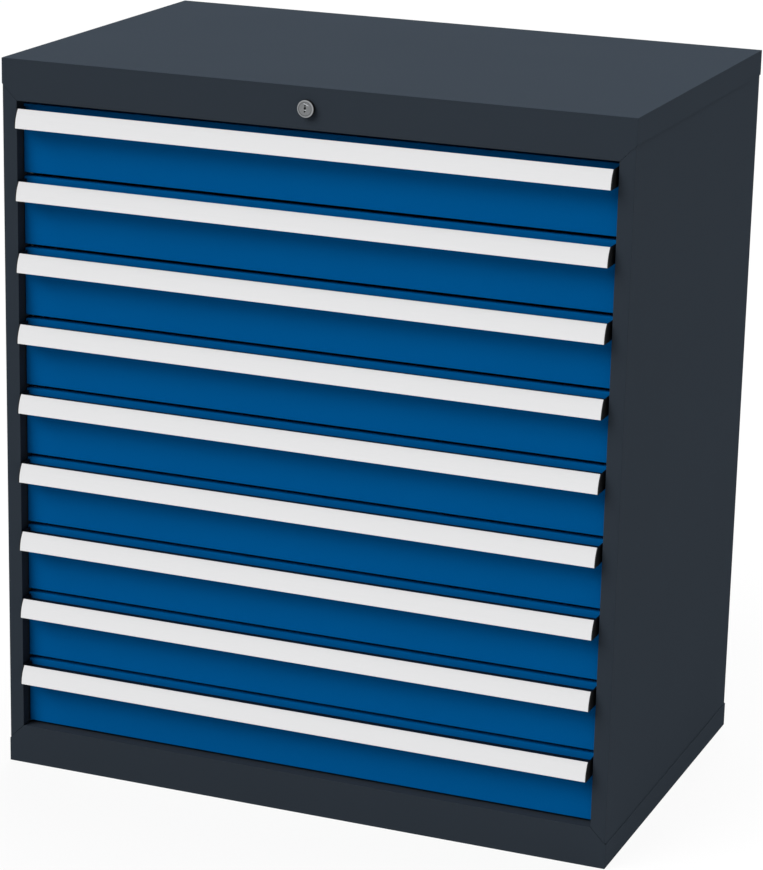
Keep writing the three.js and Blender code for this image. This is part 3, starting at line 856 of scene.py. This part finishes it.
class CABINET_OT_trays(bpy.types.Operator):
    """Folds the nine trays and punches their divider slots"""

    bl_idname = "cabinet.trays"
    bl_label = "Trays"

    fold = 1.6 * MM
    slot_top = 5 * MM  # a slot's upper end below the tray's edge
    slot_punch = 6 * MM  # depth of the punch, right through the sheet

    def execute(self, context):
        sizes = context.scene.cabinet_sizes
        sheet = sizes.casing_sheet
        (_, near, low), (_, far, high) = TRAY
        x, lip, brim = TRAY_HALF, sizes.tray_lip, high - sheet
        wide, deep = x + lip, far + lip
        floor = [(-x, near), (x, near), (x, far), (-x, far)]
        panels = [[(a, b, low) for a, b in floor]]
        panels += strip(floor[1:] + floor[:2], "Z", (low, brim))
        lips = (
            [(x, near), (wide, near), (wide, deep), (x, far)],
            [(-x, near), (-wide, near), (-wide, deep), (-x, far)],
            [(x, far), (wide, deep), (-wide, deep), (-x, far)],
        )
        panels += [[(a, b, brim) for a, b in corners] for corners in lips]
        tray = folded(panels, sheet, self.fold)
        for start, step, count, size in self.slot_rows(sizes, near, far, high):
            row = {"Start": start, "Step": step, "Count": count}
            tray = grown(tray, "slots", "grey_coat", **row, Slot_Size=size)
        for_each_drawer("box", [tray], "grey_coat", "tray")
        return {"FINISHED"}

    def slot_rows(self, sizes, near, far, high):
        pitch, width, height = sizes.slot_pitch, sizes.slot_width, sizes.slot_height
        z, through = high - self.slot_top - height / 2, self.slot_punch
        inner = sizes.casing_sheet / 2
        across = int(2 * TRAY_HALF / pitch) - 1
        deep = int((far - near) / pitch) - 1
        first_x = -pitch * (across - 1) / 2
        first_y = (near + far) / 2 - pitch * (deep - 1) / 2
        for y in (near + inner, far - inner):
            yield (first_x, y, z), (pitch, 0, 0), across, (width, through, height)
        for x in (inner - TRAY_HALF, TRAY_HALF - inner):
            yield (x, first_y, z), (0, pitch, 0), deep, (through, width, height)


class CABINET_OT_slides(bpy.types.Operator):
    """Builds the slides' inner members with the locking tabs, and the carriages with rollers"""

    bl_idname = "cabinet.slides"
    bl_label = "Slides"

    step_in = 1.9 * MM  # from one nested member to the next
    roller_places = (24 * MM, 225 * MM)  # behind the carriage's front end
    roller_sides = 40
    roller_width = 8 * MM
    roller_edge = 1 * MM
    roller_play = 0.2 * MM
    roller_gap = 0.8 * MM  # to the inner member's web
    roller_hub, groove_inner, groove_outer = 0.3, 0.75, 0.8  # of its radius
    groove_depth = 0.6 * MM
    pin_radius = 4 * MM
    tab_height = 10 * MM
    tab_lift = 70 * MM
    tab_foot = 15 * MM
    tab_reach = 13 * MM
    tab_gap = 0.6 * MM  # behind the locking bar

    def execute(self, context):
        sizes = context.scene.cabinet_sizes
        sheet, fold = sizes.slide_sheet, sizes.slide_fold
        (tip, near, low), (outer, far, high) = CARRIAGE
        section = [(tip, low), (outer, low), (outer, high), (tip, high)]
        carriage = bent(section, "Y", (near, far), sheet, fold)
        nodes = ("right_carriage", "left_carriage")
        for_each_drawer("carriage_pair", both(carriage), ZINC, *nodes, body="_carriages")

        low, high = low + self.step_in, high - self.step_in
        web, edge = TRAY_HALF + HAIR, outer - self.step_in
        section = [(edge, low), (web, low), (web, high), (edge, high)]
        member = bent(section, "Y", (near, far), sheet, fold)
        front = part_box("right_locking_bar")[1].y + self.tab_gap
        foot = TOP_BAY + self.tab_lift
        path = [(web, front + self.tab_foot), (web, front), (TRAY_HALF + self.tab_reach, front)]
        tab = bent(path, "Z", (foot, foot + self.tab_height), sheet, fold)
        for_each_drawer("inner_slides", both(member, tab), ZINC)

        radius = (high - low) / 2 - sheet - self.roller_play
        start = web + sheet + self.roller_gap
        self.rollers((start, 0, (low + high) / 2), near, radius, outer - sheet - start)
        return {"FINISHED"}

    def rollers(self, centre, near, radius, pin):
        """Both rollers of a carriage, each on a pin that reaches to the carriage's web."""
        shares = (self.roller_hub, self.groove_inner, self.groove_outer)
        hub, start, end = (share * radius for share in shares)
        width, ease, groove = self.roller_width, self.roller_edge, self.groove_depth
        profile = [(0, 0), (hub, 0), (hub, groove), (start, groove), (end, 0), (radius - ease, 0)]
        profile += [(radius, ease), (radius, width - ease), (radius - ease, width)]
        profile += [(self.pin_radius, width), (self.pin_radius, pin - HAIR), (0, pin - HAIR)]
        roller = turned(profile, centre, "X", self.roller_sides)
        first, second = (near + place for place in self.roller_places)
        row = {"Start": (0, first, 0), "Step": (0, second - first, 0), "Count": 2}
        pair = grown(roller, "row", PLASTIC, **row)
        for_each_drawer("rollers", both(pair), PLASTIC, body="_carriages")


# Lock


class CABINET_OT_lock(bpy.types.Operator):
    """Turns the lock's rosette, collar and plug, raises the index mark and a rib that is a painted
    highlight, and finishes the gear behind them
    """

    bl_idname = "cabinet.lock"
    bl_label = "Lock"

    sides = 64
    rosette_depth = 1.6 * MM
    rim = 1.9 * MM  # bevelled rim of the rosette
    rim_depth = 0.6 * MM
    rim_in, rim_back = 0.3 * MM, 0.4 * MM  # its outer edge
    barrel = 9.4 * MM
    head_bore = 9.2 * MM
    plug_bore = 6.6 * MM
    head_depth = 2.4 * MM
    head_edge = 0.2 * MM
    set_back = 0.15 * MM  # plug's face behind the rosette's
    play = 0.3 * MM
    collar_play = 0.1 * MM
    collar_edge = 0.4 * MM
    # Outlines in millimetres from the lock's axis. The keyway is a waved slot, with a short one
    # under the bar across it. The marks are the index bar and, under the keyway, a bright rib that
    # is a painted highlight of the keyway's chamfer.
    keyway = [
        [(0.9, 5.5), (0.9, 3.9), (0.3, 3.4), (0.3, 2.6), (1.3, 2.2), (1.3, -0.2), (0.9, -0.7),
         (-1.4, -0.7), (-1.8, -0.1), (-1.8, 1.7), (-0.5, 2.4), (-0.5, 3.4), (-1.1, 3.9),
         (-1.1, 5.5)],
        [(0.8, -2.4), (0.8, -3.5), (-0.2, -4.5), (-1.7, -4.5), (-1.7, -2.4)],
    ]
    keyway_depth = 12 * MM
    marks = [
        [(-2.0, 7.7), (-2.0, 6.7), (4.7, 4.1), (4.7, 5.1)],
        [(-1.3, -1.1), (-1.3, -1.9), (1.4, -1.9), (1.4, -1.1)],
    ]
    mark_height = 0.25 * MM
    mark_edge = 0.1 * MM
    gear = ("lock_nut", "lock_cam", "lock_link", "right_locking_bar", "left_locking_bar")

    def execute(self, context):
        (_, near, low), (_, far, high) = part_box("lock_cylinder")
        radius, length, centre = (high - low) / 2, far - near, (0, near, LOCK_Z)
        bore, shank, face = self.head_bore, self.plug_bore, self.rosette_depth
        shape = [(bore, 0), (radius - self.rim, 0), (radius - self.rim_in, self.rim_depth)]
        shape += [(radius, self.rim_depth + self.rim_back), (radius, face), (self.barrel, face)]
        shape += [(self.barrel, length), (shank, length)]
        shape += [(shank, self.head_depth), (bore, self.head_depth)]
        housing = shaded(turned(shape, centre, "Y", self.sides))
        hand_over("lock_rosette", housing, "cabinet", "nickel_plated_zinc", "lock_cylinder")

        inner, outer = self.barrel + self.collar_play, radius - self.collar_play
        start, seat, ease = face + HAIR, FACE - self.play - near, self.collar_edge
        shape = [(inner, start), (outer, start), (outer, seat - ease), (outer - ease, seat)]
        collar = shaded(turned([*shape, (inner, seat)], centre, "Y", self.sides))
        hand_over("lock_collar", collar, "cabinet", PLASTIC)

        head, shank = bore - self.play, shank - self.play
        front, ease, depth = self.set_back, self.head_edge, self.head_depth - self.play
        shape = [(0, front), (head - ease, front), (head, front + ease), (head, depth)]
        shape += [(shank, depth), (shank, length), (0, length)]
        blank = turned(shape, centre, "Y", self.sides)
        slots = self.prisms(self.keyway, near - self.keyway_depth, near + self.keyway_depth)
        plug = shaded(cut(blank, *slots))
        hand_over("lock_barrel_plug", plug, "lock_barrel", "nickel_plated_zinc", "lock_plug")
        # The bright zinc rib under the keyway is a painted highlight of the keyway's chamfer.
        front = near + self.set_back
        raised = self.prisms(self.marks, front - self.mark_height, front)
        marks = shaded(*(softened(mark, self.mark_edge) for mark in raised))
        hand_over("lock_index_marks", marks, "lock_barrel", ZINC)
        for node in self.gear:
            obj = NODES[node]
            obj.data.materials.clear()
            obj.data.materials.append(finish(ZINC))
        return {"FINISHED"}

    def prisms(self, outlines, start, end):
        """Solids along the lock's axis, from outlines in millimetres."""
        places = ([(x * MM, LOCK_Z + z * MM) for x, z in outline] for outline in outlines)
        return [prism(outline, "Y", (start, end)) for outline in places]


class CABINET_OT_saddles(bpy.types.Operator):
    """Folds the two saddles on the fascia's ledge that carry the lock link"""

    bl_idname = "cabinet.saddles"
    bl_label = "Link saddles"

    half_width = 10 * MM
    offset = 200 * MM  # from the lock
    play = 0.3 * MM  # round the link
    bend = 1.7 * MM
    lip = 8 * MM
    tongue = 5 * MM  # along the ledge's fold

    def execute(self, context):
        sheet, bend = context.scene.cabinet_sizes.slide_sheet, self.bend
        (_, near, low), (_, far, _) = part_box("lock_link")
        out = self.play + sheet
        near, far, low = near - out, far + out, low - out
        high, shelf = low + sheet + self.lip, SHELF + HAIR
        ends = (self.offset - self.half_width, self.offset + self.half_width)
        path = [(near, high), (near, low), (far, low), (far, high)]
        cradle = bent(path, "X", ends, sheet, bend)
        path = [(shelf, low + self.tongue), (shelf, low), (near, low)]
        strap = bent(path, "X", ends, sheet, bend)
        hand_over("link_saddles", shaded(*both(cradle, strap)), "cabinet", ZINC)
        return {"FINISHED"}


# Stage


class CabinetStage(bpy.types.PropertyGroup):
    """Floor and light"""

    floor_white: amount("Floor white", "Share of plain white in the floor", 0.9)
    fill: amount("Fill", "Strength of the light from all round", 0.1)
    key: amount("Key", "Strength of the soft light from the upper left", 2.64)
    rim: amount("Rim", "Strength of the soft light from the right", 1.04)
    back: amount("Back", "Strength of the soft light from above and behind", 2.55)
    wall: amount("Wall", "Strength of the light from the wall round the stage", 2.2)
    softness: amount("Softness", "Width of the soft lights", math.radians(44), subtype="ANGLE")


class CABINET_OT_stage(bpy.types.Operator):
    """Lays the pale floor and sets the lamps, the world and the camera"""

    bl_idname = "cabinet.stage"
    bl_label = "Stage"

    floor_half = 60.0
    floor_drop = 0.2 * MM
    paper_lit, paper_seen = 0.3, 0.82  # how pale the paper is to light and to the eye
    wall_rise = 0.15  # sine of the elevation where the wall's light ends
    # Azimuth, from the front to the right, and elevation of each lamp
    lamp_places = {"key": (-40.0, 41.0), "rim": (119.0, 20.0), "back": (168.0, 62.0)}
    # Where the photograph was taken from
    aim_point = (3.97 * MM, -2.31 * MM, 473.25 * MM)
    distance = 4475.46 * MM
    azimuth, elevation, roll = 21.7426, 16.6221, 1.2939
    lens, sensor = 130.177, 36.0
    sight = 500.0  # how far the camera sees

    def execute(self, context):
        scene = context.scene
        scene.view_settings.view_transform = "Standard"
        self.floor(scene.cabinet_stage)
        self.world(scene, scene.cabinet_stage)
        self.lamps(scene, scene.cabinet_stage)
        self.camera(scene)
        return {"FINISHED"}

    def seen(self, tree):
        """1 for what the camera sees, straight or in metal and glass, and 0 for light."""
        path = put(tree, "ShaderNodeLightPath").outputs
        seen = path["Is Camera Ray"]
        for other in ("Is Glossy Ray", "Is Transmission Ray"):
            links = {0: seen, 1: path[other]}
            seen = put(tree, "ShaderNodeMath", {"operation": "MAXIMUM"}, links)
        return seen

    def floor(self, stage):
        h = self.floor_half
        bm = bmesh.new()
        corners = ((-h, -h), (h, -h), (h, h), (-h, h))
        bm.faces.new([bm.verts.new((x, y, -self.floor_drop)) for x, y in corners])
        obj = shown("floor", mesh_of(bm))
        material = bpy.data.materials.new("Studio paper")
        tree = emptied(material)
        seen = self.seen(tree)
        # Grey paper for light, so that it throws little back, and nearly white to the eye
        edges = {"To Min": self.paper_lit, "To Max": self.paper_seen}
        tone = put(tree, "ShaderNodeMapRange", edges, {"Value": seen})
        paper = put(tree, "ShaderNodeBsdfDiffuse", links={"Color": tone})
        white = put(tree, "ShaderNodeEmission", {"Color": (1, 1, 1, 1), "Strength": 1.0})
        settings = {"operation": "MULTIPLY", 1: stage.floor_white}
        share = put(tree, "ShaderNodeMath", settings, {0: seen})
        mixed = put(tree, "ShaderNodeMixShader", links={0: share, 1: paper, 2: white})
        put(tree, "ShaderNodeOutputMaterial", links={"Surface": mixed})
        material.cycles.emission_sampling = "NONE"
        obj.data.materials.append(material)

    def world(self, scene, stage):
        world = bpy.data.worlds.new("Studio")
        scene.world = world
        tree = emptied(world)
        # The pale wall round the stage throws light in, strongest from just above the floor
        place = put(tree, "ShaderNodeTexCoord").outputs["Generated"]
        height = put(tree, "ShaderNodeSeparateXYZ", links={0: place}).outputs["Z"]
        edges = {"From Max": self.wall_rise, "To Min": stage.wall, "To Max": stage.fill}
        light = put(tree, "ShaderNodeMapRange", edges, {"Value": height})
        links = {"Value": self.seen(tree), "To Min": light}
        strength = put(tree, "ShaderNodeMapRange", links=links)
        white = {"Color": (1, 1, 1, 1)}
        sky = put(tree, "ShaderNodeBackground", white, {"Strength": strength})
        put(tree, "ShaderNodeOutputWorld", links={"Surface": sky})

    def lamps(self, scene, stage):
        for name, place in self.lamp_places.items():
            data = bpy.data.lights.new(name, "SUN")
            data.energy = getattr(stage, name)
            data.angle = stage.softness
            lamp = bpy.data.objects.new(name, data)
            scene.collection.objects.link(lamp)
            lamp.visible_glossy = False
            lamp.matrix_world = self.towards(*place).to_track_quat("Z", "Y").to_matrix().to_4x4()

    def towards(self, azimuth, elevation):
        """The direction out to an azimuth, from the front to the right, and an elevation."""
        az, el = math.radians(azimuth), math.radians(elevation)
        return Vector((math.sin(az) * math.cos(el), -math.cos(az) * math.cos(el), math.sin(el)))

    def camera(self, scene):
        back = self.towards(self.azimuth, self.elevation)
        az, roll = math.radians(self.azimuth), math.radians(self.roll)
        level = Vector((math.cos(az), math.sin(az), 0))
        right = level * math.cos(roll) + back.cross(level) * math.sin(roll)
        turn = Matrix((right, back.cross(right), back)).transposed().to_4x4()
        data = bpy.data.cameras.new("camera")
        data.sensor_fit = "VERTICAL"
        data.sensor_height = self.sensor
        data.lens = self.lens
        data.clip_end = self.sight
        camera = bpy.data.objects.new("camera", data)
        scene.collection.objects.link(camera)
        place = Vector(self.aim_point) + back * self.distance
        camera.matrix_world = Matrix.Translation(place) @ turn
        scene.camera = camera


# Panel and registration

OPERATORS = (
    CABINET_OT_casing,
    CABINET_OT_racks,
    CABINET_OT_fronts,
    CABINET_OT_grips,
    CABINET_OT_trays,
    CABINET_OT_slides,
    CABINET_OT_lock,
    CABINET_OT_saddles,
    CABINET_OT_stage,
)
GROUPS = {
    "cabinet_sizes": CabinetSizes,
    "cabinet_colours": CabinetColours,
    "cabinet_stage": CabinetStage,
}


class CABINET_PT_pieces(bpy.types.Panel):
    """Sizes, colours and pieces of the cabinet"""

    bl_label = "Drawer Cabinet"
    bl_idname = "CABINET_PT_pieces"
    bl_space_type = "VIEW_3D"
    bl_region_type = "UI"
    bl_category = "Cabinet"

    def draw(self, context):
        for name, group in GROUPS.items():
            box = self.layout.box()
            for prop in group.__annotations__:
                box.prop(getattr(context.scene, name), prop)
        for operator in OPERATORS:
            self.layout.operator(operator.bl_idname)


def register():
    for cls in (*GROUPS.values(), *OPERATORS, CABINET_PT_pieces):
        bpy.utils.register_class(cls)
    for name, group in GROUPS.items():
        setattr(bpy.types.Scene, name, PointerProperty(type=group))


def unregister():
    for name in GROUPS:
        delattr(bpy.types.Scene, name)
    for cls in reversed((*GROUPS.values(), *OPERATORS, CABINET_PT_pieces)):
        bpy.utils.unregister_class(cls)


def main():
    register()
    for operator in OPERATORS:
        getattr(bpy.ops.cabinet, operator.bl_idname.split(".")[1])()


if __name__ == "__main__":
    main()
